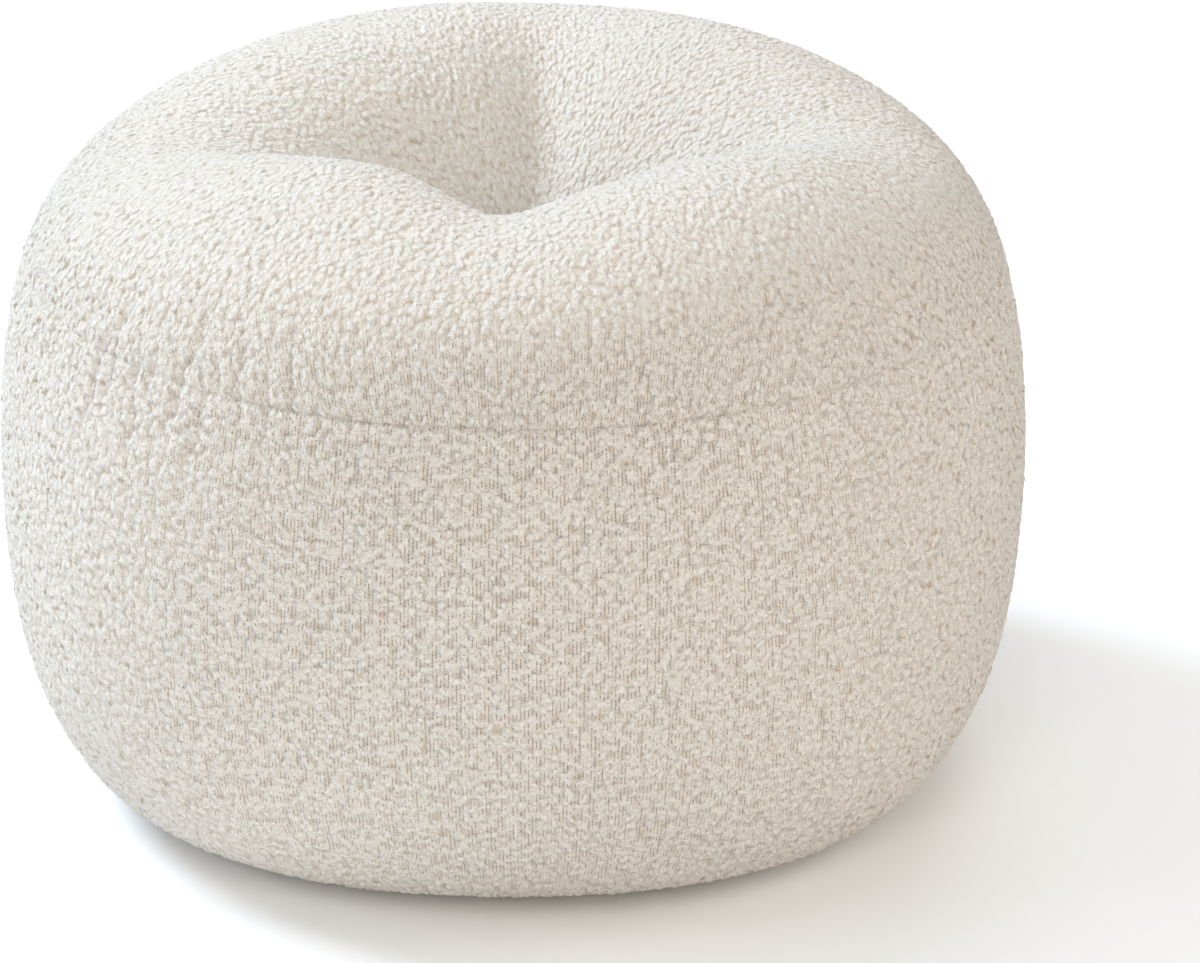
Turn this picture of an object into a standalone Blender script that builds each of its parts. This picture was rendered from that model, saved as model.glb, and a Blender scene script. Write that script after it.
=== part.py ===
"""Bean bag footstool: one round, filled and sewn cushion of ivory boucle cloth.

The cover is a round top panel, an upright side band and a round base panel, sewn edge to edge round
one filling. A thread through the middle pulls the crown down into a pinched hollow, and four soft
valleys run out from it between four lobes.

Blender 4.5, metres, +Z up. The origin is on the floor, under the middle of the footstool, and the
viewer's side is -Y.
"""

import math

import bmesh
import bpy
from mathutils import Vector

# ---------------------------------------------------------------- driving dimensions

WIDTH = 0.500  # across the widest ring
HEIGHT = 0.349  # floor to the top of the lobes
SQUARENESS = 0.047  # how much fuller the base edge is towards the lobes than between them
LEAN = 0.043  # rise of the shoulder seam for each metre towards the back
COLUMNS = 72  # facets round the cushion

# Half of the upright section, from the edge of the flat base up to the middle of the crown, as if
# the crown were not tied down. Radius is a share of half the width, height a share of the height,
# and facets counts the rings between this row and the one before.
OUTLINE = (
    # place, radius, height, facets
    ("edge of the flat base", 0.626, 0.000, 1),
    ("base seam", 0.781, 0.021, 3),
    ("lower corner", 0.881, 0.071, 3),
    ("lower side", 0.971, 0.213, 4),
    ("widest ring", 1.000, 0.423, 5),
    ("upper side", 0.991, 0.610, 5),
    ("band under the seam", 0.957, 0.741, 3),
    ("shoulder seam", 0.943, 0.761, 2),
    ("panel over the seam", 0.941, 0.781, 2),
    ("shoulder", 0.858, 0.882, 4),
    ("slope of the crown", 0.632, 0.968, 4),
    ("top of the lobes", 0.436, 1.000, 5),
    ("inner slope", 0.220, 1.000, 7),
    ("middle", 0.000, 1.000, 8),
)

# The tuft: how far the thread pulls the middle down, and how that fades out over a lobe.
TUFT_DEPTH = 0.125
TUFT_PLACE = (0.010, 0.009)
LOBE_REACH = 0.186
LOBE_FADE = 2.4

# The valleys between the lobes. Heading is in degrees from +X towards +Y, reach is where the valley
# has faded out, fade is the power it fades with, spread is its half width at the tuft, flare is what
# it widens by for each metre out, and roundness is 1 for a sharp crease and 2 for a soft trough.
VALLEYS = (
    # name, heading, reach, fade, spread, flare, roundness
    ("back", 87.0, 0.165, 1.2, 0.020, 0.10, 1.0),
    ("left", 178.0, 0.257, 1.3, 0.032, 0.26, 1.7),
    ("front", 261.5, 0.250, 1.9, 0.028, 0.12, 1.3),
    ("right", 0.0, 0.250, 1.8, 0.026, 0.25, 1.8),
)

BOUCLE_IVORY = (0.78, 0.73, 0.66)


def clear_scene():
    """Remove what the startup file left."""
    for obj in list(bpy.data.objects):
        bpy.data.objects.remove(obj, do_unlink=True)


def new_collection(name):
    collection = bpy.data.collections.new(name)
    bpy.context.scene.collection.children.link(collection)
    return collection


def boucle_cloth():
    """Looped wool-like cloth: matt, ivory, no shine."""
    material = bpy.data.materials.new("boucle_cloth")
    material.use_nodes = True
    shader = material.node_tree.nodes["Principled BSDF"]
    shader.inputs["Base Color"].default_value = (*BOUCLE_IVORY, 1.0)
    shader.inputs["Roughness"].default_value = 0.95
    shader.inputs["Metallic"].default_value = 0.0
    return material


def smooth_path(points, counts):
    """A Catmull-Rom curve through the points, with counts[i] steps up to point i."""
    ends = [2 * points[0] - points[1], *points, 2 * points[-1] - points[-2]]
    path = [points[0]]
    for i in range(1, len(points)):
        before, start, end, after = ends[i - 1 : i + 3]
        for step in range(1, counts[i] + 1):
            t = step / counts[i]
            path.append(
                0.5
                * (
                    2 * start
                    + (end - before) * t
                    + (2 * before - 5 * start + 4 * end - after) * t**2
                    + (3 * start - before - 3 * end + after) * t**3
                )
            )
    return path


def half_section():
    """The section's points in the XZ plane, from the middle of the crown down to the middle of the base."""
    rows = [Vector((radius * WIDTH / 2, 0, height * HEIGHT)) for _, radius, height, _ in OUTLINE]
    path = smooth_path(rows, [facets for *_, facets in OUTLINE])
    for point in path:
        point.z = max(point.z, 0.0)
    path[-1].x = 0.0
    return [*reversed(path), Vector((0, 0, 0))]


def turned_body(collection):
    """The section turned into a closed body by a Screw, with the modifier applied."""
    section = half_section()
    mesh = bpy.data.meshes.new("cushion_section")
    mesh.from_pydata(section, [(i, i + 1) for i in range(len(section) - 1)], [])
    body = bpy.data.objects.new("cushion", mesh)
    collection.objects.link(body)
    screw = body.modifiers.new("turn", "SCREW")
    screw.steps = COLUMNS
    screw.render_steps = COLUMNS
    screw.use_merge_vertices = True
    screw.merge_threshold = 0.00005
    turned = bpy.data.meshes.new_from_object(body.evaluated_get(bpy.context.evaluated_depsgraph_get()))
    body.modifiers.clear()
    body.data = turned
    turned.name = "cushion"
    bpy.data.meshes.remove(mesh)
    return body


def seam_height():
    return HEIGHT * next(height for place, _, height, _ in OUTLINE if place == "shoulder seam")


def square_up(body):
    """Fill the lower body out towards the lobes: nothing at the shoulder seam, most at the base."""
    for vertex in body.data.vertices:
        below = max(0.0, 1.0 - vertex.co.z / seam_height())
        around = 0.5 - 0.5 * math.cos(4 * math.atan2(vertex.co.y, vertex.co.x))
        vertex.co.xy *= 1.0 + SQUARENESS * below * around


def fade(distance, reach, power):
    """From 1 at the tuft to 0 at the reach, leaving the crown smoothly."""
    return max(0.0, 1.0 - distance / reach) ** power


def crown_drop(x, y):
    """How far the tied crown lies below the free one, at a place on the plan."""
    x -= TUFT_PLACE[0]
    y -= TUFT_PLACE[1]
    radius = math.hypot(x, y)
    lobe = fade(radius, LOBE_REACH, LOBE_FADE)
    drop = lobe
    for _, heading, reach, power, spread, flare, roundness in VALLEYS:
        turn = math.radians(heading)
        if x * math.cos(turn) + y * math.sin(turn) > 0:
            aside = abs(y * math.cos(turn) - x * math.sin(turn))
            share = math.exp(-((aside / (spread + flare * radius)) ** roundness))
            drop = max(drop, lobe + (fade(radius, reach, power) - lobe) * share)
    return TUFT_DEPTH * drop


def tie_down_crown(body):
    """Draw the vertices over the shoulder seam in and down to the tuft and its valleys."""
    for vertex in body.data.vertices:
        if vertex.co.z > seam_height():
            pull = fade(vertex.co.xy.length, LOBE_REACH, 1.0)
            vertex.co.xy += Vector(TUFT_PLACE) * pull
            vertex.co.z -= crown_drop(vertex.co.x, vertex.co.y)


def lean_back(body):
    """Raise the back of the seam and of the crown a little over the front, with the base left flat."""
    for vertex in body.data.vertices:
        share = min(1.0, vertex.co.z / seam_height())
        vertex.co.z += LEAN * vertex.co.y * share


def close_faces(body):
    """Weld the poles and turn every face outwards."""
    shape = bmesh.new()
    shape.from_mesh(body.data)
    bmesh.ops.remove_doubles(shape, verts=shape.verts, dist=0.00005)
    bmesh.ops.recalc_face_normals(shape, faces=shape.faces)
    shape.to_mesh(body.data)
    shape.free()
    body.data.shade_smooth()


def main():
    clear_scene()
    collection = new_collection("bean_bag_footstool")
    cushion = turned_body(collection)
    square_up(cushion)
    tie_down_crown(cushion)
    lean_back(cushion)
    close_faces(cushion)
    cushion.data.materials.append(boucle_cloth())


main()
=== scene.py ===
# %% [markdown]
# # A bean bag footstool in looped ivory cloth
# The real thing is one round, filled cushion. A round top panel, an upright band and a round base
# panel are sewn edge to edge round the filling, and a thread through the middle ties the crown down
# into a hollow with four soft valleys. The cloth is boucle: a plain woven ground with looped yarn
# on it, which stands up in knops as large as lentils.
#
# The lesson goes the way the maker does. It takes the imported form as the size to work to, lets a
# cloth simulation fill the cover, cuts the panels as flat grids, lays them on the filled form, draws
# them in at the seams, raises the knops and gives them their finish. The room comes last.

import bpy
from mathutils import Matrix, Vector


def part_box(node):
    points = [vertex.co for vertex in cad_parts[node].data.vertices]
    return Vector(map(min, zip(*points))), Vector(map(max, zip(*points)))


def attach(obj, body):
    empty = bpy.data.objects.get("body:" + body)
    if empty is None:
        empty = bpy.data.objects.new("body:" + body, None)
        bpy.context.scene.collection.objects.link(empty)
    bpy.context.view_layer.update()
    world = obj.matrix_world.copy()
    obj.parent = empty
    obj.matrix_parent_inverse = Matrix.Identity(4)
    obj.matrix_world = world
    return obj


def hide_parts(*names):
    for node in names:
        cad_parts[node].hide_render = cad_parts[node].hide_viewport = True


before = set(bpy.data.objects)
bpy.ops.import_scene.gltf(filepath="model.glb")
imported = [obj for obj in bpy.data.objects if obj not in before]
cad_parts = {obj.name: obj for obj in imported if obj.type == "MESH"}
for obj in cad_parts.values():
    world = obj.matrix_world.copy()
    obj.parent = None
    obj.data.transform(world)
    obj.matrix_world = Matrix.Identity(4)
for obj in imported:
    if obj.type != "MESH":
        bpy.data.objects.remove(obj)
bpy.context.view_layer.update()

# %% Bring in the tools
import math

import bmesh
import bpy
import numpy as np
from mathutils import Vector
from mathutils.bvhtree import BVHTree

MM = 0.001
low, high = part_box("cushion")
WIDTH = high.x - low.x
HEIGHT = high.z - low.z
print(f"the cushion is {WIDTH / MM:.0f} mm across and {HEIGHT / MM:.0f} mm tall")

# %% [markdown]
# ## Where the seams run
# A maker chalks the seam lines first. The shoulder seam runs round at a little over three quarters
# of the height, and the filling has pushed it a little higher at the back than at the front. The
# base seam is almost on the floor. The tie that pulls the crown down is a touch off the middle.
# These few sizes place everything else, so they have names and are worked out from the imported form.

# %% Chalk the seam lines
SHOULDER = 0.776 * HEIGHT
SHOULDER_LEAN = 0.043
BASE_SEAM = 0.0214 * HEIGHT
TIE = Vector((0.020 * WIDTH, 0.018 * WIDTH, 0.0))


def shoulder_height(back):
    """Height of the shoulder seam, from how far back of the middle it is."""
    return SHOULDER + SHOULDER_LEAN * back


print("shoulder seam at", round(SHOULDER / MM), "mm, base seam at", round(BASE_SEAM / MM, 1), "mm")

# %% [markdown]
# ## Select nothing, then only what is wanted
# Blender's operators act on all that is selected, and loading the form leaves it selected. One small
# helper clears that and picks the object that the next step works on.


# %% A helper that selects one object
def select_only(thing):
    bpy.ops.object.select_all(action="DESELECT")
    thing.select_set(True)
    bpy.context.view_layer.objects.active = thing


def points_of(mesh):
    """Every vertex place of a mesh as rows of three numbers."""
    flat = np.empty(len(mesh.vertices) * 3)
    mesh.vertices.foreach_get("co", flat)
    return flat.reshape(-1, 3)


def move_points(mesh, places):
    mesh.vertices.foreach_set("co", np.ascontiguousarray(places, dtype=np.float32).ravel())
    mesh.update()


# %% [markdown]
# ## Fill the cover
# A cushion gets its shape from the filling that presses its skin out between the seams. Modelling
# that by hand gives a form that looks turned on a lathe. Blender's cloth with inner pressure does it
# as the real one does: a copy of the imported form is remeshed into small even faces, made a little
# smaller, held at the shoulder seam, the tie and the base, and blown up again for a few frames.
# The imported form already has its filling, so only half of what the cloth moves is kept.

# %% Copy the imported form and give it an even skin
SKIN_FACE = 5 * MM
WELD = 0.01 * MM


def bare_copy(node, name):
    """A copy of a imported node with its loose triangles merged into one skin."""
    form = bpy.data.objects.new(name, node.data.copy())
    bpy.context.scene.collection.objects.link(form)
    form.data.materials.clear()
    skin = bmesh.new()
    skin.from_mesh(form.data)
    bmesh.ops.remove_doubles(skin, verts=skin.verts, dist=WELD)
    skin.to_mesh(form.data)
    skin.free()
    return form


form = bare_copy(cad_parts["cushion"], "filled_form")
select_only(form)
form.data.remesh_voxel_size = SKIN_FACE
bpy.ops.object.voxel_remesh()
relax = form.modifiers.new("relax", "SMOOTH")
relax.factor = 0.5
relax.iterations = 6
bpy.ops.object.modifier_apply(modifier="relax")
print("skin for the filling:", len(form.data.polygons), "faces")

# %% Hold the skin at its seams and let the filling press it out
PULL_IN = 2.5 * MM
SEAM_DRAW = 2.0 * MM
MOST_MOVE = 5 * MM
KEPT = 0.5
FRAMES = 12
PRESSURE = 6.5
SEAM_BAND = 0.6 * SKIN_FACE
SEAM_INSIDE = 0.36 * WIDTH
TIE_RADIUS = 12 * MM
RESTS_BELOW = 0.5 * MM


def fill_cover(form):
    """Cloth with inner pressure, held at the seams, the tie and the base. Its result is applied."""
    mesh = form.data
    start = points_of(mesh)
    normals = np.empty(len(start) * 3)
    mesh.vertex_normals.foreach_get("vector", normals)
    normals = normals.reshape(-1, 3)
    from_middle = np.hypot(start[:, 0], start[:, 1])
    from_tie = np.hypot(start[:, 0] - TIE.x, start[:, 1] - TIE.y)
    from_shoulder = np.abs(start[:, 2] - shoulder_height(start[:, 1]))
    seam = (from_shoulder < SEAM_BAND) & (from_middle > SEAM_INSIDE)
    tied = (from_tie < TIE_RADIUS) & (start[:, 2] > HEIGHT / 2)
    resting = start[:, 2] < RESTS_BELOW
    held = seam | tied | resting
    begin = start - normals * np.where(seam, SEAM_DRAW, np.where(held, 0.0, PULL_IN))[:, None]
    begin[:, 2] = np.maximum(begin[:, 2], 0.0)
    move_points(mesh, begin)
    form.vertex_groups.new(name="held").add(np.flatnonzero(held).tolist(), 1.0, "REPLACE")
    cloth = form.modifiers.new("filling", "CLOTH")
    cloth.point_cache.frame_end = FRAMES
    cloth.settings.vertex_group_mass = "held"
    cloth.settings.quality = 3
    cloth.settings.mass = 0.002
    cloth.settings.tension_stiffness = 0.4
    cloth.settings.compression_stiffness = 0.4
    cloth.settings.shear_stiffness = 0.2
    cloth.settings.bending_stiffness = 0.02
    cloth.settings.use_pressure = True
    cloth.settings.uniform_pressure_force = PRESSURE
    cloth.settings.effector_weights.gravity = 0
    for step in range(1, FRAMES + 1):
        bpy.context.scene.frame_set(step)
    bpy.ops.object.modifier_apply(modifier="filling")
    bpy.context.scene.frame_set(1)
    moved = points_of(mesh) - start
    length = np.linalg.norm(moved, axis=1)
    moved *= KEPT * np.minimum(1.0, MOST_MOVE / np.maximum(length, 1e-9))[:, None]
    filled = start + moved
    filled[:, 2] = np.maximum(filled[:, 2], 0.0)
    move_points(mesh, filled)
    out = np.percentile((moved * normals).sum(1), (1, 50, 99)) / MM
    print("the filling moved the skin by", out.round(1), "mm: least, middle and most")


fill_cover(form)

# %% [markdown]
# ## Measure the filled form
# The panels are laid on this form, so the lesson needs to know where it is for any heading round the
# cushion and any distance along the cloth. Rays from a point inside find the skin, as a tailor's
# tape would if it ran from the tie over the shoulder and down to the middle of the base.

# %% Run a tape over every heading
HEADINGS = 600
TAPE_MARKS = 420
INSIDE = Vector((TIE.x, TIE.y, 0.35 * HEIGHT))


def run_tapes(form):
    """Places on the skin, as tapes by marks, from the tie down to the middle of the base."""
    skin = BVHTree.FromObject(form, bpy.context.evaluated_depsgraph_get())
    places = np.empty((HEADINGS, TAPE_MARKS, 3))
    tilt = np.linspace(math.pi / 2, -math.pi / 2, TAPE_MARKS)
    for i, heading in enumerate(np.linspace(0, 2 * math.pi, HEADINGS, endpoint=False)):
        c, s = math.cos(heading), math.sin(heading)
        for j, angle in enumerate(tilt):
            flat = math.cos(angle)
            hit = skin.ray_cast(INSIDE, Vector((c * flat, s * flat, math.sin(angle))))[0]
            places[i, j] = hit if hit else places[i, j - 1]
    return places


tapes = run_tapes(form)
bpy.data.objects.remove(form)
print("tapes and marks:", tapes.shape[:2], "highest mark:", round(tapes[..., 2].max() / MM, 1), "mm")


# %% Find which way the skin faces, and how far along each mark is
def facing(places):
    """The outward direction at every mark, from the two ways along the skin."""
    along = np.gradient(places, axis=1)
    ring = np.concatenate([places[-1:], places, places[:1]])
    around = (ring[2:] - ring[:-2]) / 2
    out = np.cross(along, around)
    out[:, 0] = (0, 0, 1)
    out[:, -1] = (0, 0, -1)
    return out / np.maximum(np.linalg.norm(out, axis=2, keepdims=True), 1e-12)


def runs_of(places):
    """Distance along each tape, from the tie to every mark."""
    steps = np.linalg.norm(np.diff(places, axis=1), axis=2)
    return np.concatenate([np.zeros((HEADINGS, 1)), np.cumsum(steps, axis=1)], axis=1)


def last_mark_above(level):
    """Distance along each tape at which the skin last passes below a level."""
    found = np.empty(HEADINGS)
    for i in range(HEADINGS):
        over = tapes[i, :, 2] - level[i]
        j = int(np.flatnonzero(over > 0)[-1])
        share = over[j] / (over[j] - over[j + 1])
        found[i] = run[i, j] + share * (run[i, j + 1] - run[i, j])
    return found


run = runs_of(tapes)
turn = np.linspace(0, 2 * math.pi, HEADINGS, endpoint=False)
seam_level = shoulder_height(0.47 * WIDTH * np.sin(turn))
to_shoulder = last_mark_above(seam_level)
to_base_seam = last_mark_above(np.full(HEADINGS, BASE_SEAM))
print("tie to shoulder seam:", round(to_shoulder.mean() / MM), "mm of cloth; band:",
      round((to_base_seam - to_shoulder).mean() / MM), "mm")

# %% [markdown]
# ## Bridge the shoulder and round the valleys
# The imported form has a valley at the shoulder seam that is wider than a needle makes. Deep looped
# cloth is stiff and bridges it, so each tape is carried over the valley by a curve that leaves and
# meets the skin without a corner. The narrow groove of the seam itself comes later. The valleys of
# the crown are sharp creases only near the tie, and thick cloth rounds them off further out.

# %% Carry the tapes over the seam and round the valleys
BRIDGE_REACH = 20 * MM
VALLEY_SOFT = 2 * MM
VALLEY_FADES = 0.045


def bridged(places, seam):
    """The tapes with the stretch round the seam replaced by a smooth curve."""
    # The curve is a cubic that is told where to start and end, and in which direction to do so.
    result = places.copy()
    for i in range(HEADINGS):
        inside = np.flatnonzero(np.abs(run[i] - seam[i]) < BRIDGE_REACH)
        first, last = inside[0] - 1, inside[-1] + 1
        start, end = places[i, first], places[i, last]
        leave = (places[i, first] - places[i, first - 3]) / (run[i, first] - run[i, first - 3])
        meet = (places[i, last + 3] - places[i, last]) / (run[i, last + 3] - run[i, last])
        span = run[i, last] - run[i, first]
        t = ((run[i, inside] - run[i, first]) / span)[:, None]
        result[i, inside] = (
            (2 * t**3 - 3 * t**2 + 1) * start
            + (t**3 - 2 * t**2 + t) * span * leave
            + (3 * t**2 - 2 * t**3) * end
            + (t**3 - t**2) * span * meet
        )
    return result


def rounded(places):
    """The tapes smoothed from heading to heading, more and more towards the outside."""
    waves = np.fft.rfft(places, axis=0)
    order = np.arange(len(waves))[:, None]
    radius = np.hypot(places[..., 0] - TIE.x, places[..., 1] - TIE.y).mean(0)
    softness = VALLEY_SOFT + VALLEY_FADES * radius
    keep = np.exp(-0.5 * (order * softness / np.maximum(radius, softness)) ** 2)
    return np.fft.irfft(waves * keep[..., None], n=HEADINGS, axis=0)


before = tapes
tapes = rounded(bridged(tapes, to_shoulder))
lift = np.linalg.norm(tapes - before, axis=2).max()
run = runs_of(tapes)
directions = facing(tapes)
print("the bridge lifts the skin by up to", round(float(lift) / MM, 1), "mm")

# %% [markdown]
# ## Lay flat cloth on the form
# Each panel is cut flat and then laid on the form. For a place on the cloth the lesson reads the two
# nearest tapes and mixes what they say, which bends the flat grid over the filling without
# stretching it along the tapes.

# %% Read a place and a direction anywhere between the tapes
MARKS = 512


def spread(values, start, end):
    """Tape readings put at even shares of the way from one distance to another."""
    rows = np.empty((HEADINGS, MARKS, 3))
    share = np.linspace(0, 1, MARKS)
    for i in range(HEADINGS):
        at = start[i] + share * (end[i] - start[i])
        for axis in range(3):
            rows[i, :, axis] = np.interp(at, run[i], values[i, :, axis])
    return rows


def between(rows, heading, share):
    """Rows read at any headings and shares of the way, mixed from the four nearest readings."""
    a = (heading / (2 * math.pi) * HEADINGS) % HEADINGS
    b = np.clip(share, 0, 1) * (MARKS - 1)
    i, j = np.floor(a).astype(int) % HEADINGS, np.minimum(np.floor(b).astype(int), MARKS - 2)
    fa, fb = (a - np.floor(a))[:, None], (b - j)[:, None]
    k = (i + 1) % HEADINGS
    near = rows[i, j] * (1 - fb) + rows[i, j + 1] * fb
    far = rows[k, j] * (1 - fb) + rows[k, j + 1] * fb
    return near * (1 - fa) + far * fa


def around(lengths, heading):
    """A length that is known for each tape, read at any heading."""
    return np.interp(heading % (2 * math.pi), np.append(turn, 2 * math.pi), np.append(lengths, lengths[0]))


# %% [markdown]
# ## Gathers at the shoulder seam
# The machine eases a little more cloth into the seam than the seam is long, and the spare cloth
# stands in small upright gathers a finger's width apart. They die out a few centimetres above and
# below it. They are uneven: strongest at the front left, nearly nothing at the right.

# %% Work out the gathers
GATHER_REACH = 30 * MM
GATHER_WIDTH = 2.8 * MM
GATHER_DEPTH = 2.8 * MM
GATHERS_ROUND = 110
STRONGEST = math.radians(218)
dice = np.random.default_rng(7)
gather_marks = np.cumsum(dice.uniform(0.6, 1.4, GATHERS_ROUND))
gather_turns = gather_marks / gather_marks[-1] * 2 * math.pi
gather_luck = dice.uniform(0.3, 1.0, GATHERS_ROUND)
gather_lean = dice.uniform(-0.25, 0.25, GATHERS_ROUND)
gather_drop = dice.uniform(-16, 22, GATHERS_ROUND) * MM
GATHERS_SPAN = 0.5
LEAST_GATHER = 0.12
SWAY = 1.5 * MM
SWAY_LENGTH = 5 * MM


def gathers(heading, below):
    """How far the cloth sinks at the gathers. below is the way down from the seam, minus above it."""
    depth = np.zeros(len(heading))
    for turned, luck, lean, drop in zip(gather_turns, gather_luck, gather_lean, gather_drop):
        along = (below - drop) / GATHER_REACH
        across = np.angle(np.exp(1j * (heading - turned))) * WIDTH / 2
        across = across - lean * (below - drop) + SWAY * np.sin(below / SWAY_LENGTH + drop / MM)
        depth = np.maximum(depth, luck * np.exp(-((across / GATHER_WIDTH) ** 2) - along**2))
    away = np.angle(np.exp(1j * (heading - STRONGEST)))
    strength = LEAST_GATHER + (1 - LEAST_GATHER) * np.exp(-((away / GATHERS_SPAN) ** 2))
    return -GATHER_DEPTH * depth * strength


print(GATHERS_ROUND, "gathers round the seam, up to", round(GATHER_DEPTH / MM, 1), "mm deep")

# %% [markdown]
# ## Draw the panels in at their seams
# A sewn seam pulls both edges down into a narrow groove. It is shallow, because the deep cloth
# closes over it. At the front it leaves a thin line, and at the sides the loops hide it.

# %% Work out the groove
GROOVE_DEPTH = 1.2 * MM
GROOVE_WIDTH = 1.6 * MM
LEAST_GROOVE = 0.1
GROOVE_SPAN = 0.7


def groove(distance, heading):
    """How far the cloth lies below the form at a distance from a seam. It is deepest at the front."""
    from_front = np.angle(np.exp(1j * (heading + math.pi / 2)))
    strength = LEAST_GROOVE + (1 - LEAST_GROOVE) * np.exp(-((from_front / GROOVE_SPAN) ** 2))
    return GROOVE_DEPTH * strength * np.exp(-((distance / GROOVE_WIDTH) ** 1.2))


print("the groove is up to", round(GROOVE_DEPTH / MM, 1), "mm deep")

# %% [markdown]
# ## Cut the panels
# A panel starts as a flat grid. Its own map, OFBake, is the flat pattern piece laid out in a square.
# Four values ride on its vertices, and the knops and the finish both read them:
# - cloth: where the vertex is on the cloth, in metres.
# - free: how free the loops are to stand up, which is nothing in the seam itself.
# - loft: how deep the loops are. On the crown they are rubbed flatter than on the band, with less painted
#   shade in the creases.
# - open: how far apart they lie. Cloth drawn tight over the front and back shows its ground there, and
#   where it is closed the painted crease shade is darker.

# %% Helpers that cut a grid and note where its cloth is
FREE_FROM_SEAM = 0.9 * MM
CROWN_LOFT = 0.85
BAND_LOFT = 1.25
TIE_CALM = 2 * MM
TIE_FREE = 10 * MM
LIFTS_OFF = 4 * MM
LOFT_REACH = 75 * MM
OPEN_REACH = 170 * MM
SIDES_CLOSED = 0.45
FRONT_OPEN = 0.9


def flat_grid(name, across, down):
    """A flat grid, with its corner at 0, 0 and its far corner at 1, 1, and OFBake as its map."""
    bpy.ops.object.select_all(action="DESELECT")
    bpy.ops.mesh.primitive_grid_add(
        x_subdivisions=across, y_subdivisions=down, size=1, location=(0.5, 0.5, 0)
    )
    panel = bpy.context.object
    bpy.ops.object.transform_apply(location=True, rotation=True, scale=True)
    panel.name = name
    panel.data.name = name
    panel.data.uv_layers[0].name = "OFBake"
    return panel


def set_map(panel, flat):
    """Writes the flat place of each vertex, as shares of the square, to the panel's map."""
    mesh = panel.data
    corner = np.empty(len(mesh.loops), dtype=np.int32)
    mesh.loops.foreach_get("vertex_index", corner)
    mesh.uv_layers["OFBake"].uv.foreach_set("vector", flat[corner].astype(np.float32).ravel())


def note(panel, name, values):
    """Keeps a number, or a place, for every vertex under a name."""
    kind = "FLOAT" if values.ndim == 1 else "FLOAT_VECTOR"
    field = "value" if values.ndim == 1 else "vector"
    layer = panel.data.attributes.new(name, kind, "POINT")
    layer.data.foreach_set(field, values.astype(np.float32).ravel())


def soft_step(x):
    x = np.clip(x, 0, 1)
    return x * x * (3 - 2 * x)


def openness(ways):
    """How far the loops lie apart: 1 where the cloth is tight over the front and back, 0 at the sides."""
    return soft_step((np.abs(ways[:, 1]) - SIDES_CLOSED) / (FRONT_OPEN - SIDES_CLOSED))


# %% [markdown]
# ## The round panels
# A round panel made of rings would crowd its faces at the middle. A square grid pushed out to a
# circle keeps them even: each square ring of the grid becomes a circle.

# %% Cut the round panels
ROUND_FACES = 300
ROUND_SHARE = 0.49


def square_to_round(flat):
    """A place in the square turned to a share of the radius and a heading."""
    x, y = flat[:, 0] * 2 - 1, flat[:, 1] * 2 - 1
    radius = np.maximum(np.abs(x), np.abs(y))
    safe = np.maximum(radius, 1e-9)
    side = np.abs(x) >= np.abs(y)
    heading = np.where(
        side,
        math.pi / 4 * y / safe * np.sign(x) + np.where(x < 0, math.pi, 0),
        math.pi / 2 * np.sign(y) - math.pi / 4 * x / safe * np.sign(y),
    )
    return radius, heading


def round_panel(name, faces, start, end, upside_down):
    """A round panel from the middle of the form out to a seam. start and end are tape distances."""
    panel = flat_grid(name, faces, faces)
    radius, heading = square_to_round(points_of(panel.data))
    share = 1 - radius if upside_down else radius
    rows, ways = spread(tapes, start, end), spread(directions, start, end)
    length = np.abs(around(end - start, heading))
    cloth_radius = float(np.abs(end - start).mean())
    flat = np.stack([np.cos(heading), np.sin(heading)], 1) * radius[:, None]
    set_map(panel, flat * ROUND_SHARE + 0.5)
    note(panel, "cloth", np.column_stack([flat * cloth_radius, np.zeros(len(flat))]))
    from_seam = (1 - radius) * length
    places, ways = between(rows, heading, share), between(ways, heading, share)
    return panel, heading, places, ways, from_seam, radius * length


def make_top_panel():
    panel, heading, places, ways, from_seam, from_tie = round_panel(
        "top_panel", ROUND_FACES, np.zeros(HEADINGS), to_shoulder, False
    )
    places = places + ways * (gathers(heading, -from_seam) - groove(from_seam, heading))[:, None]
    from_tie = from_tie + TIE_CALM
    note(panel, "free", soft_step(from_seam / FREE_FROM_SEAM) * soft_step(from_tie / TIE_FREE))
    note(panel, "loft", CROWN_LOFT + (BAND_LOFT - CROWN_LOFT) * soft_step(1 - from_seam / LOFT_REACH))
    note(panel, "open", openness(ways) * soft_step(1 - from_seam / OPEN_REACH))
    move_points(panel.data, places)
    return panel


def make_base_panel():
    panel, heading, places, ways, from_seam, from_middle = round_panel(
        "base_panel", ROUND_FACES // 2, to_base_seam, run[:, -1], True
    )
    off_floor = soft_step(places[:, 2] / LIFTS_OFF)
    places = places - ways * groove(from_seam, heading)[:, None]
    places[:, 2] = np.maximum(places[:, 2], 0)
    note(panel, "free", soft_step(from_seam / FREE_FROM_SEAM) * off_floor)
    note(panel, "loft", np.full(len(places), BAND_LOFT))
    note(panel, "open", np.zeros(len(places)))
    move_points(panel.data, places)
    select_only(panel)
    bpy.ops.object.mode_set(mode="EDIT")
    bpy.ops.mesh.select_all(action="SELECT")
    bpy.ops.mesh.flip_normals()
    bpy.ops.object.mode_set(mode="OBJECT")
    return panel


top_panel = make_top_panel()
base_panel = make_base_panel()
print("round panels:", len(top_panel.data.polygons), len(base_panel.data.polygons), "faces")

# %% [markdown]
# ## The side band
# The band is a long strip, with its threads upright. It is cut in two lengths, so that one bolt's
# width serves, and the two closing seams sit just behind the widest points, where nobody looks.

# %% Cut the two lengths of the band
FRONT_SPAN = math.radians(204)
FRONT_MIDDLE = math.radians(270)
BAND_ACROSS = 596
BAND_DOWN = 160
MAP_EDGE = 0.001


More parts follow.
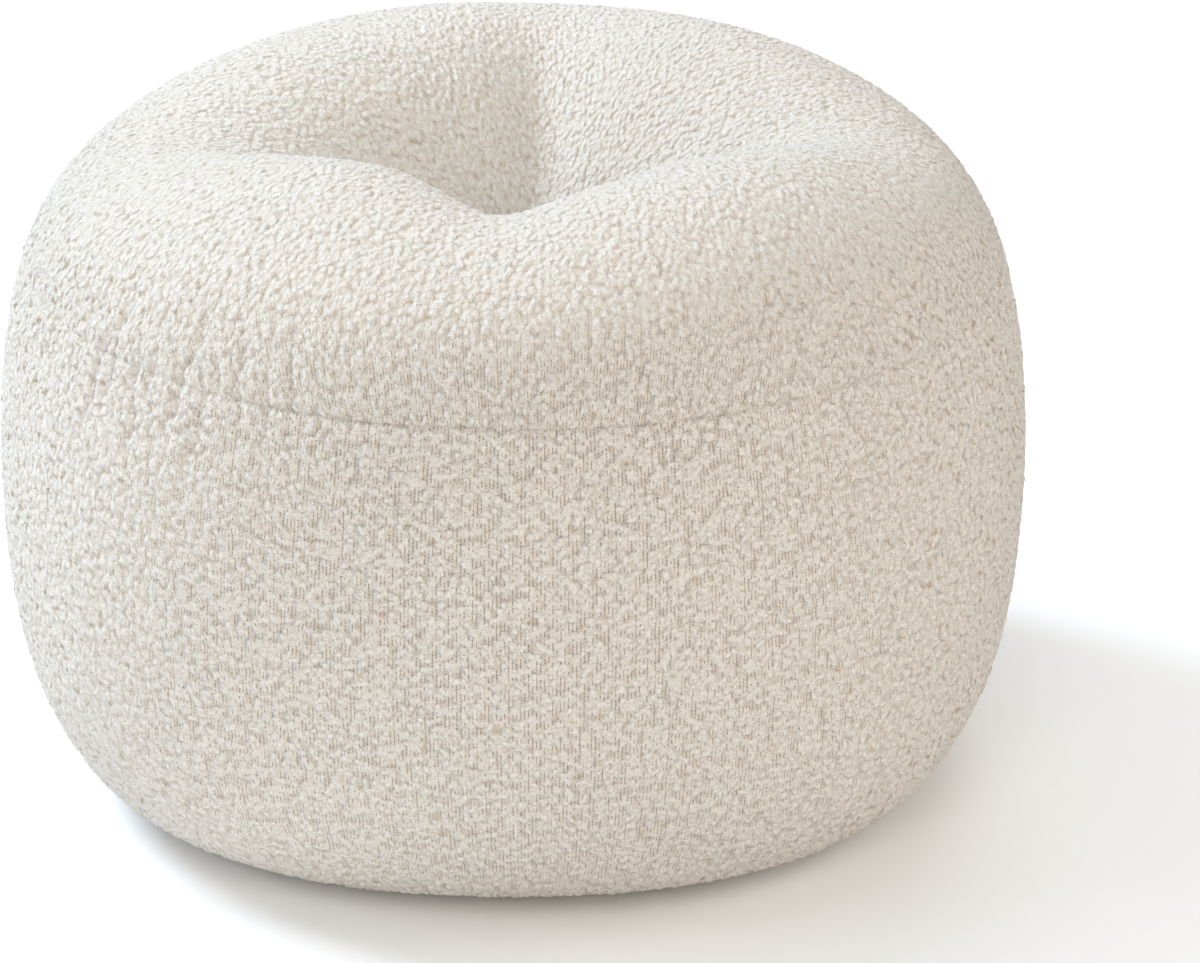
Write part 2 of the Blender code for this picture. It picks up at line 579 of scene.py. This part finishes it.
def band_length(name, middle, span, across):
    """A length of the band, span wide about a heading, from the shoulder seam to the base seam."""
    panel = flat_grid(name, across, BAND_DOWN)
    flat = points_of(panel.data)
    heading = middle - span / 2 + flat[:, 0] * span
    down = 1 - flat[:, 1]
    rows, ways = spread(tapes, to_shoulder, to_base_seam), spread(directions, to_shoulder, to_base_seam)
    length = around(to_base_seam - to_shoulder, heading)
    places, ways = between(rows, heading, down), between(ways, heading, down)
    below, above_base = down * length, (1 - down) * length
    from_close = np.minimum(flat[:, 0], 1 - flat[:, 0]) * span * WIDTH / 2
    from_seam = np.minimum(np.minimum(below, above_base), from_close)
    places = places + ways * (gathers(heading, below) - groove(from_seam, heading))[:, None]
    places[:, 2] = np.maximum(places[:, 2], 0)
    set_map(panel, flat[:, :2] * (1 - 2 * MAP_EDGE) + MAP_EDGE)
    note(panel, "cloth", np.column_stack([(heading - math.pi) * WIDTH / 2, -below, np.ones(len(flat))]))
    note(panel, "free", soft_step(from_seam / FREE_FROM_SEAM))
    note(panel, "loft", np.full(len(places), BAND_LOFT))
    note(panel, "open", openness(ways))
    move_points(panel.data, places)
    return panel


BACK_SPAN = 2 * math.pi - FRONT_SPAN
front_band = band_length("front_band", FRONT_MIDDLE, FRONT_SPAN, BAND_ACROSS)
back_band = band_length(
    "back_band", FRONT_MIDDLE + math.pi, BACK_SPAN, round(BAND_ACROSS * BACK_SPAN / FRONT_SPAN)
)
PANELS = (top_panel, front_band, back_band, base_panel)
print("band:", len(front_band.data.polygons), len(back_band.data.polygons), "faces")

# %% [markdown]
# ## One way to add a node
# Everything from here is built of nodes, so one small function adds a node, sets what it needs and
# links its inputs. A value that is a socket is linked, and anything else is set.


# %% The function that adds a node
def add(tree, kind, inputs=None, **settings):
    node = tree.nodes.new(kind)
    for name, value in settings.items():
        setattr(node, name, value)
    for name, value in (inputs or {}).items():
        if isinstance(value, bpy.types.NodeSocket):
            tree.links.new(value, node.inputs[name])
        else:
            node.inputs[name].default_value = value
    return node


def maths(tree, operation, *values):
    return add(tree, "ShaderNodeMath", dict(enumerate(values)), operation=operation).outputs[0]


def vectors(tree, operation, *values):
    return add(tree, "ShaderNodeVectorMath", dict(enumerate(values)), operation=operation).outputs[0]


# %% [markdown]
# ## Knops
# Boucle yarn is thrown into loops that stand up as rounded knops about five millimetres apart, in
# columns that follow the upright threads and in wavering rows. A cell pattern with some randomness
# gives that: one cell is one knop, and its dome falls away towards the cell's edge. The same nodes
# shape the mesh here and paint the cloth later, so colour and relief always agree. Where the rows
# and the threads have wandered to is worked out once, on the mesh, and kept there as rows and
# threads, because the finish would else work it out again for every ray of light.
#
# A pair of numbers such as KNOP_DOME is where a soft step starts and where it ends.

# %% The nodes that give the height of a knop
KNOP_ACROSS = 4.5 * MM
KNOP_UP = 4.9 * MM
KNOP_RELIEF = 1.3 * MM
ROW_WAVER = 1.5 * MM
WAVER_GRAIN = 22 * MM
RAGGED = 1.1 * MM
RAGGED_GRAIN = 2.6 * MM
KNOP_DOME = (0.76, 0.16)
THREAD_GRAIN = 9 * MM
THREAD_WAVER = 0.25 * MM


def wander(tree, cloth, grain, reach, detail=1.0):
    """Nodes that push a place on the cloth about, by up to reach, with bumps of the size of grain."""
    settings = {"Vector": cloth, "Scale": 1 / grain, "Detail": detail}
    noise = add(tree, "ShaderNodeTexNoise", settings, noise_dimensions="2D").outputs["Color"]
    centred = vectors(tree, "SUBTRACT", noise, (0.5, 0.5, 0.5))
    shift = vectors(tree, "MULTIPLY", centred, (2 * reach, 3 * reach, 0))
    return vectors(tree, "ADD", cloth, shift)


def stretch(tree, place, across, up):
    """Nodes that count a place on the cloth in steps of so much across and up."""
    return vectors(tree, "MULTIPLY", place, (1 / across, 1 / up, 1))


def ramp(tree, value, start, end, low=0.0, high=1.0):
    """Nodes for a soft step from low to high as the value goes from start to end."""
    return add(
        tree,
        "ShaderNodeMapRange",
        {"Value": value, "From Min": start, "From Max": end, "To Min": low, "To Max": high},
        interpolation_type="SMOOTHSTEP",
    ).outputs[0]


def knop_height(tree, rows):
    """Nodes for the height of the knops, from 0 between them to 1 on the tallest."""
    ragged = wander(tree, rows, RAGGED_GRAIN, RAGGED)
    knops = add(
        tree,
        "ShaderNodeTexVoronoi",
        {
            "Vector": stretch(tree, ragged, KNOP_ACROSS, KNOP_UP),
            "Scale": 1.0,
            "Randomness": 0.9,
        },
        voronoi_dimensions="2D",
        feature="F1",
    )
    dome = ramp(tree, knops.outputs["Distance"], *KNOP_DOME)
    luck = add(tree, "ShaderNodeSeparateXYZ", {0: knops.outputs["Color"]}).outputs[0]
    tall = add(tree, "ShaderNodeMapRange", {"Value": luck, "To Min": 0.5, "To Max": 1.0}).outputs[0]
    return maths(tree, "MULTIPLY", dome, tall)


# %% Raise the knops in the mesh
def keep(tree, panel, name, value):
    """Nodes that note a place on the cloth on every vertex, so that the finish can read it later."""
    settings = {"Geometry": panel, "Name": name, "Value": value}
    kind = "GeometryNodeStoreNamedAttribute"
    return add(tree, kind, settings, data_type="FLOAT_VECTOR", domain="POINT").outputs[0]


def knop_maker():
    """A geometry recipe that moves each vertex out by the height of its knop."""
    tree = bpy.data.node_groups.new("raise_knops", "GeometryNodeTree")
    tree.interface.new_socket("Geometry", in_out="INPUT", socket_type="NodeSocketGeometry")
    tree.interface.new_socket("Geometry", in_out="OUTPUT", socket_type="NodeSocketGeometry")
    panel = add(tree, "NodeGroupInput").outputs[0]
    named = "GeometryNodeInputNamedAttribute"
    cloth = add(tree, named, {"Name": "cloth"}, data_type="FLOAT_VECTOR").outputs[0]
    free = add(tree, named, {"Name": "free"}, data_type="FLOAT").outputs[0]
    loft = add(tree, named, {"Name": "loft"}, data_type="FLOAT").outputs[0]
    rows = wander(tree, cloth, WAVER_GRAIN, ROW_WAVER)
    threads = wander(tree, cloth, THREAD_GRAIN, THREAD_WAVER)
    panel = keep(tree, panel, "rows", rows)
    panel = keep(tree, panel, "threads", threads)
    height = maths(tree, "MULTIPLY", maths(tree, "MULTIPLY", knop_height(tree, rows), free), KNOP_RELIEF)
    height = maths(tree, "MULTIPLY", height, loft)
    normal = add(tree, "GeometryNodeInputNormal").outputs[0]
    lift = add(tree, "ShaderNodeVectorMath", {0: normal, "Scale": height}, operation="SCALE").outputs[0]
    raised = add(tree, "GeometryNodeSetPosition", {"Geometry": panel, "Offset": lift}).outputs[0]
    add(tree, "NodeGroupOutput", {0: raised})
    return tree


raise_knops = knop_maker()
for panel in PANELS:
    select_only(panel)
    before = points_of(panel.data)
    knops = panel.modifiers.new("knops", "NODES")
    knops.node_group = raise_knops
    bpy.ops.object.modifier_apply(modifier="knops")
    rise = np.linalg.norm(points_of(panel.data) - before, axis=1)
    print(panel.name, "knops rise by up to", round(float(rise.max()) / MM, 2), "mm")

# %% [markdown]
# ## Colour
# Paints and dyes are given as sRGB hex values, and shaders work in linear light, so one function
# turns one into the other.


# %% Hex to linear colour
def linear(hex_colour):
    parts = [int(hex_colour[i : i + 2], 16) / 255 for i in (1, 3, 5)]
    return (*[p / 12.92 if p <= 0.04045 else ((p + 0.055) / 1.055) ** 2.4 for p in parts], 1.0)


# %% [markdown]
# ## Ivory boucle
# The cloth is undyed looped polyester and wool yarn on a woven ground. The loops are matt and almost
# white. Each knop is a few small loops with creases between them, where less light gets in, and that
# shade is painted into the colour. The ground is a warmer beige, with thin dark slots between its
# upright threads, broken by the threads that cross them. The slots show where the cloth lies open, and
# the painted crease shade is darkest where it is closed. The whole is chalky, with a faint halo of loose
# fibre, so it has high roughness, hardly any gloss and a little sheen.

# %% Sizes and colours of the cloth
# The upright threads are about 1.6 mm apart. They are drawn at 1.7 mm, a little coarser, so that the
# slots between them show.
THREAD_PITCH = 1.7 * MM
WEFT_PITCH = 1.6 * MM
SLOT_GRAIN = 2.6 * MM
LOOP = 3.4 * MM
PATCH = 3.5 * MM
# Loose fibre is finer than the mesh, so it is bump and painted shade. Drawn at 0.7 mm so that it shows.
FIBRE = 0.7 * MM
IVORY = linear("#DAD4CC")
BEIGE = linear("#CEC4B7")
# Painted shade: the colour that the creases between loops and the fibre are darkened towards.
PAINTED_CREASE_SHADE = linear("#A99984")
SLOT = linear("#877A6B")
print("threads drawn", THREAD_PITCH / MM, "mm apart, loops", LOOP / MM, "mm across")


def blend(tree, factor, first, second):
    """Nodes that mix two colours. A Mix node's colours are its inputs 6 and 7 and its output 2."""
    return add(tree, "ShaderNodeMix", {"Factor": factor, 6: first, 7: second}, data_type="RGBA").outputs[2]


def noise_at(tree, place, grain, detail):
    """Nodes for soft noise with bumps of one size."""
    settings = {"Vector": place, "Scale": 1 / grain, "Detail": detail}
    return add(tree, "ShaderNodeTexNoise", settings, noise_dimensions="2D").outputs["Fac"]


# %% The loops of a knop
FRAY_GRAIN = 1.5 * MM
FRAY = 0.4 * MM


def from_loop(tree, cloth):
    """Nodes for the distance, in loops, from the middle of the nearest loop."""
    frayed = wander(tree, cloth, FRAY_GRAIN, FRAY, detail=0.0)
    settings = {"Vector": stretch(tree, frayed, LOOP, LOOP), "Scale": 1.0, "Randomness": 1.0}
    cells = add(tree, "ShaderNodeTexVoronoi", settings, voronoi_dimensions="2D", feature="F1")
    return cells.outputs["Distance"]


# %% The slots between upright threads
SLOT_LINE = (0.22, 0.06)
WEFT_BREAK = (0.45, 0.25)
BREAK_LEAVES = 0.25
APART = 7.3


def thread_slots(tree, threads):
    """Nodes for the dark slots between upright threads, and for the noise that breaks each line."""
    across, up, _ = add(tree, "ShaderNodeSeparateXYZ", {0: threads}).outputs
    count = maths(tree, "DIVIDE", across, THREAD_PITCH)
    beside = maths(tree, "ABSOLUTE", maths(tree, "SUBTRACT", maths(tree, "FRACT", count), 0.5))
    column = maths(tree, "FLOOR", count)
    weft = maths(tree, "MULTIPLY_ADD", column, 0.5, maths(tree, "DIVIDE", up, WEFT_PITCH))
    over = maths(tree, "ABSOLUTE", maths(tree, "SUBTRACT", maths(tree, "FRACT", weft), 0.5))
    crossed = ramp(tree, over, *WEFT_BREAK, BREAK_LEAVES, 1.0)
    slot = maths(tree, "MULTIPLY", ramp(tree, beside, *SLOT_LINE), crossed)
    settings = {0: maths(tree, "MULTIPLY", column, APART), 1: maths(tree, "DIVIDE", up, SLOT_GRAIN)}
    own = add(tree, "ShaderNodeCombineXYZ", settings).outputs[0]
    return slot, noise_at(tree, own, 1.0, 0.0)


# %% The finish of the cloth
GROUND_SHOWS = (0.5, 0.05)
SLOTS_IN_GAPS = 0.34
SLOT_RUNS = (0.59, 0.74)
SLOT_DARK = 0.86
LOOP_EDGE = (0.52, 0.8)
LOOP_DOME = (0.75, 0.2)
PATCHES = (0.3, 0.6)
# How strong the painted crease shade is where the cloth lies open, and where it is closed.
PAINTED_SHADE_OPEN = 0.42
PAINTED_SHADE_CLOSED = 0.74
FIBRE_DARK = (0.52, 0.25)
FIBRE_SHADE = 0.25
KNOP_BUMP = 0.9
LOOP_BUMP = 0.7
FIBRE_BUMP = 0.3
BUMP_HEIGHT = 1 * MM


def ivory_boucle():
    """Looped ivory cloth: pale matt knops on a warmer ground, slots between the upright threads, and
    painted shade in the creases between loops and among the fibre.
    """
    material = bpy.data.materials.new("ivory_boucle")
    material.use_nodes = True
    tree = material.node_tree
    tree.nodes.clear()
    cloth = add(tree, "ShaderNodeAttribute", attribute_name="cloth").outputs["Vector"]
    rows = add(tree, "ShaderNodeAttribute", attribute_name="rows").outputs["Vector"]
    threads = add(tree, "ShaderNodeAttribute", attribute_name="threads").outputs["Vector"]
    loft = add(tree, "ShaderNodeAttribute", attribute_name="loft").outputs["Fac"]
    opened = add(tree, "ShaderNodeAttribute", attribute_name="open").outputs["Fac"]
    height = knop_height(tree, rows)
    out = from_loop(tree, cloth)
    fibre = noise_at(tree, cloth, FIBRE, 1.0)
    line, breaks = thread_slots(tree, threads)
    gap = ramp(tree, height, *GROUND_SHOWS)
    shown = ramp(tree, maths(tree, "MULTIPLY_ADD", gap, SLOTS_IN_GAPS, breaks), *SLOT_RUNS)
    slots = maths(tree, "MULTIPLY", maths(tree, "MULTIPLY", line, shown), opened)
    ground = blend(tree, maths(tree, "MULTIPLY", gap, 0.5), IVORY, BEIGE)
    uneven = noise_at(tree, cloth, PATCH, 1.0)
    # Painted shade: the edges of the loops, in uneven patches, and the fibre are darkened towards the
    # crease shade colour. It is darker where the cloth is closed and where the loops are deep.
    shade_at_loop_edges = maths(tree, "MULTIPLY", ramp(tree, out, *LOOP_EDGE), ramp(tree, uneven, *PATCHES))
    deep = maths(tree, "MULTIPLY", ramp(tree, opened, 1.0, 0.0, PAINTED_SHADE_OPEN, PAINTED_SHADE_CLOSED), loft)
    hollow = maths(tree, "MULTIPLY_ADD", shade_at_loop_edges, deep, ramp(tree, fibre, *FIBRE_DARK, 0.0, FIBRE_SHADE))
    tone = blend(tree, hollow, ground, PAINTED_CREASE_SHADE)
    tone = blend(tree, maths(tree, "MULTIPLY", slots, SLOT_DARK), tone, SLOT)
    relief = maths(tree, "MULTIPLY", fibre, FIBRE_BUMP)
    relief = maths(tree, "MULTIPLY_ADD", ramp(tree, out, *LOOP_DOME), LOOP_BUMP, relief)
    relief = maths(tree, "MULTIPLY_ADD", height, KNOP_BUMP, relief)
    relief = maths(tree, "MULTIPLY", relief, loft)
    settings = {"Strength": 1.0, "Distance": BUMP_HEIGHT, "Height": relief}
    bump = add(tree, "ShaderNodeBump", settings).outputs[0]
    shader = add(
        tree,
        "ShaderNodeBsdfPrincipled",
        {
            "Base Color": tone,
            "Roughness": 0.95,
            "Specular IOR Level": 0.15,
            "Sheen Weight": 0.25,
            "Sheen Roughness": 0.5,
            "Normal": bump,
        },
    ).outputs[0]
    add(tree, "ShaderNodeOutputMaterial", {"Surface": shader})
    return material


cloth_finish = ivory_boucle()
for panel in PANELS:
    panel.data.materials.clear()
    panel.data.materials.append(cloth_finish)
    select_only(panel)
    bpy.ops.object.shade_smooth()
print("finish:", cloth_finish.name)

# %% [markdown]
# ## Fasten the panels to the frame
# All four panels stand for the one packed cushion, which is stuffed and nearly full. They hang from the
# root of the frame, and the imported cushion is hidden.

for panel in PANELS:
    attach(panel, "root")
    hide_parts("cushion")
print("fastened:", [panel.name for panel in PANELS])

# %% [markdown]
# ## The room
# A plain pale floor and soft studio light. A cool key lamp stands high at the back left, so that the
# left side and the right wall of the crease are the brightest and the shadow falls to the front
# right. A weak lamp above and one on the left open the shadows. A very large warm lamp in front
# gives the near side its even beige. A last lamp lights only the floor far behind.

# %% Floor
FLOOR_RADIUS = 2.2
FLOOR_GAP = 0.2 * MM
bpy.ops.object.select_all(action="DESELECT")
bpy.ops.mesh.primitive_circle_add(
    vertices=96, radius=FLOOR_RADIUS, fill_type="NGON", location=(0, 0, -FLOOR_GAP)
)
floor = bpy.context.object
floor.name = "floor"
# White paper from a roll: matt, with a trace of blue that the warm lamp takes away again.
paper = bpy.data.materials.new("white_paper")
paper.use_nodes = True
paper.node_tree.nodes["Principled BSDF"].inputs["Base Color"].default_value = linear("#FDFEFF")
paper.node_tree.nodes["Principled BSDF"].inputs["Roughness"].default_value = 0.9
floor.data.materials.append(paper)
print("floor:", FLOOR_RADIUS, "m from the middle to its edge")

# %% Light
scene = bpy.context.scene
scene.view_settings.view_transform = "Standard"


def soft_lamp(name, place, aim, size, power, colour):
    lamp = bpy.data.lights.new(name, "AREA")
    lamp.shape = "DISK"
    lamp.size = size
    lamp.energy = power
    lamp.color = colour
    stand = bpy.data.objects.new(name, lamp)
    scene.collection.objects.link(stand)
    stand.visible_camera = False
    stand.location = place
    stand.rotation_euler = (Vector(aim) - Vector(place)).to_track_quat("-Z", "Y").to_euler()
    return stand


COOL = (0.8, 0.9, 1.0)
WARM = (1.0, 0.93, 0.85)
WHITE = (1.0, 1.0, 1.0)
MIDDLE = (0, 0, 0.15)
soft_lamp("key", (-2.0, 0.95, 2.1), MIDDLE, 1.4, 91, COOL)
soft_lamp("overhead", (0, 0.2, 2.2), MIDDLE, 2.2, 14, COOL)
soft_lamp("left_fill", (-2.2, -0.6, 1.0), MIDDLE, 1.2, 13, COOL)
soft_lamp("front_fill", (0.2, -2.55, 1.3), MIDDLE, 3.0, 54, WARM)
soft_lamp("right_fill", (2.2, -0.3, 1.2), MIDDLE, 1.6, 19, WARM)
soft_lamp("backdrop", (0.8, 3.6, 2.0), (0.8, 3.4, 0), 2.5, 60, WHITE)
print("lamps:", [lamp.name for lamp in bpy.data.lights])

# %% The room beyond the floor
# The camera sees a white room behind the floor's edge, but the room itself gives only a little light.
ROOM_LIGHT = 0.12
room = bpy.data.worlds.new("pale_room")
scene.world = room
room.use_nodes = True
room.node_tree.nodes.clear()
seen = add(room.node_tree, "ShaderNodeLightPath").outputs["Is Camera Ray"]
settings = {"Value": seen, "To Min": ROOM_LIGHT, "To Max": 1.0}
strength = add(room.node_tree, "ShaderNodeMapRange", settings).outputs[0]
glow = add(room.node_tree, "ShaderNodeBackground", {"Color": (*WHITE, 1), "Strength": strength}).outputs[0]
add(room.node_tree, "ShaderNodeOutputWorld", {"Surface": glow})

# %% [markdown]
# ## The camera
# The eye is two metres off and about 21 degrees above the footstool, so it sees the side and just
# looks into the hollow. A long lens keeps the sides from spreading. The small shift puts the
# footstool a little left of the middle of the frame.

# %% Camera
EYE_TILT = math.radians(21)
EYE_DISTANCE = 2.03
AIM = Vector((0, 0, 0.475 * HEIGHT))
SENSOR = 36
LENS = 122.9
SHIFT = (0.0725, -0.0391)
back = Vector((0, -math.cos(EYE_TILT), math.sin(EYE_TILT)))
eye = bpy.data.cameras.new("eye")
camera = bpy.data.objects.new("eye", eye)
scene.collection.objects.link(camera)
camera.location = AIM + back * EYE_DISTANCE
camera.rotation_euler = (-back).to_track_quat("-Z", "Y").to_euler()
eye.sensor_width = SENSOR
eye.lens = LENS
eye.shift_x = SHIFT[0]
eye.shift_y = SHIFT[1]
eye.clip_start = 0.05
scene.camera = camera
print("camera:", EYE_DISTANCE, "m from the middle,", round(math.degrees(EYE_TILT)), "degrees up")
